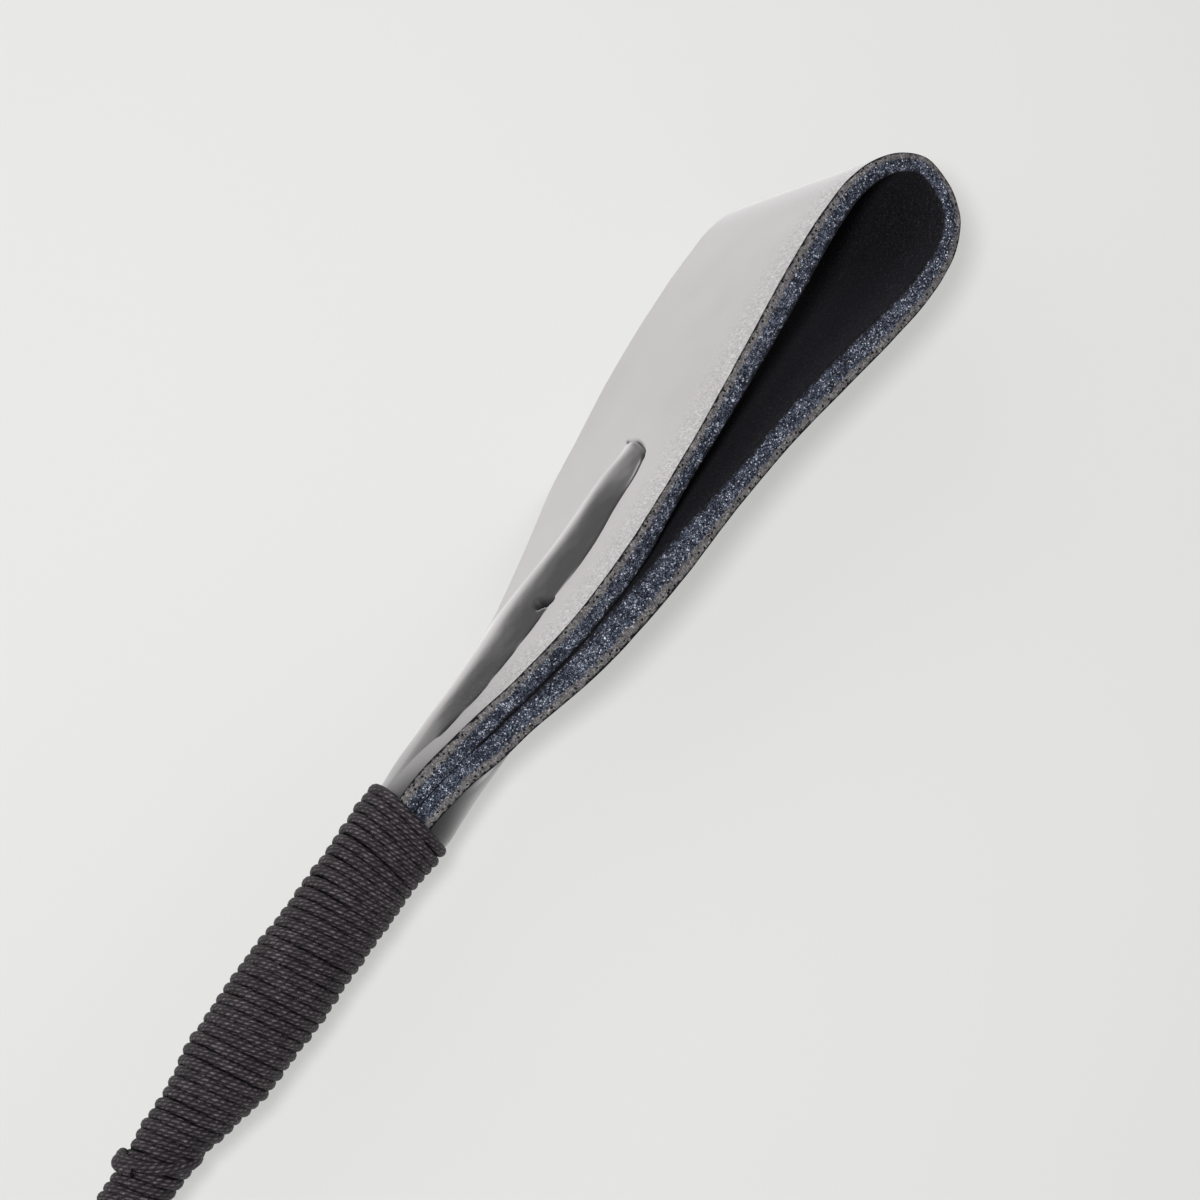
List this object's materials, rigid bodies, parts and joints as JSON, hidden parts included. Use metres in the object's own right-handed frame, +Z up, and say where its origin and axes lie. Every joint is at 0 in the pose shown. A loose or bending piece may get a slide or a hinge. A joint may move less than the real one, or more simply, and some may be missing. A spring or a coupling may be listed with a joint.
{
  "type": "riding crop",
  "caption": "Short riding crop: folded leather keeper whipped with cord to a braided shaft, with a leather grip and a mushroom butt cap.",
  "frame": {"origin": "on the surface it lies on, below the middle of its length", "axes": "+X along the crop towards the keeper's fold, +Z up, across the keeper strip's width"},
  "size_m": [0.6, 0.025, 0.025],
  "materials": {
    "glass_fibre": "drawn glass-fibre rod",
    "black_plastic": "moulded",
    "braid": "tight nylon braid",
    "keeper_leather": "black satin grain, cut edge left blue-grey",
    "waxed_cord": "waxed twisted cord",
    "grip_leather": "black wrapped strip",
    "satin_metal": "satin turned",
    "cap_plastic": "moulded, semi-gloss",
    "steel": "bright zinc"
  },
  "bodies": {
    "crop": {"shaft_core": "glass_fibre", "shaft_tip_cap": "black_plastic", "shaft_braid": "braid", "keeper_tab_left": "keeper_leather", "keeper_tab_right": "keeper_leather", "keeper_whipping": "waxed_cord", "whipping_hitch": "waxed_cord", "whipping_tail": "waxed_cord", "handle_former": "black_plastic", "grip_sleeve": "grip_leather", "grip_ferrule": "satin_metal", "handle_whipping": "waxed_cord", "grip_ring": "satin_metal", "butt_cap": "cap_plastic", "cap_screw": "steel", "cap_plug": "satin_metal"},
    "keeper_end": {"keeper_loop": "keeper_leather"}
  },
  "joints": [
    {"name": "keeper_flex", "type": "hinge", "parent": "crop", "child": "keeper_end", "pos_m": [0.2705, 0, 0.0125], "axis": [0, 0, 1], "range_deg": [-25, 25], "stiffness_Nm_per_rad": 0.05}
  ]
}
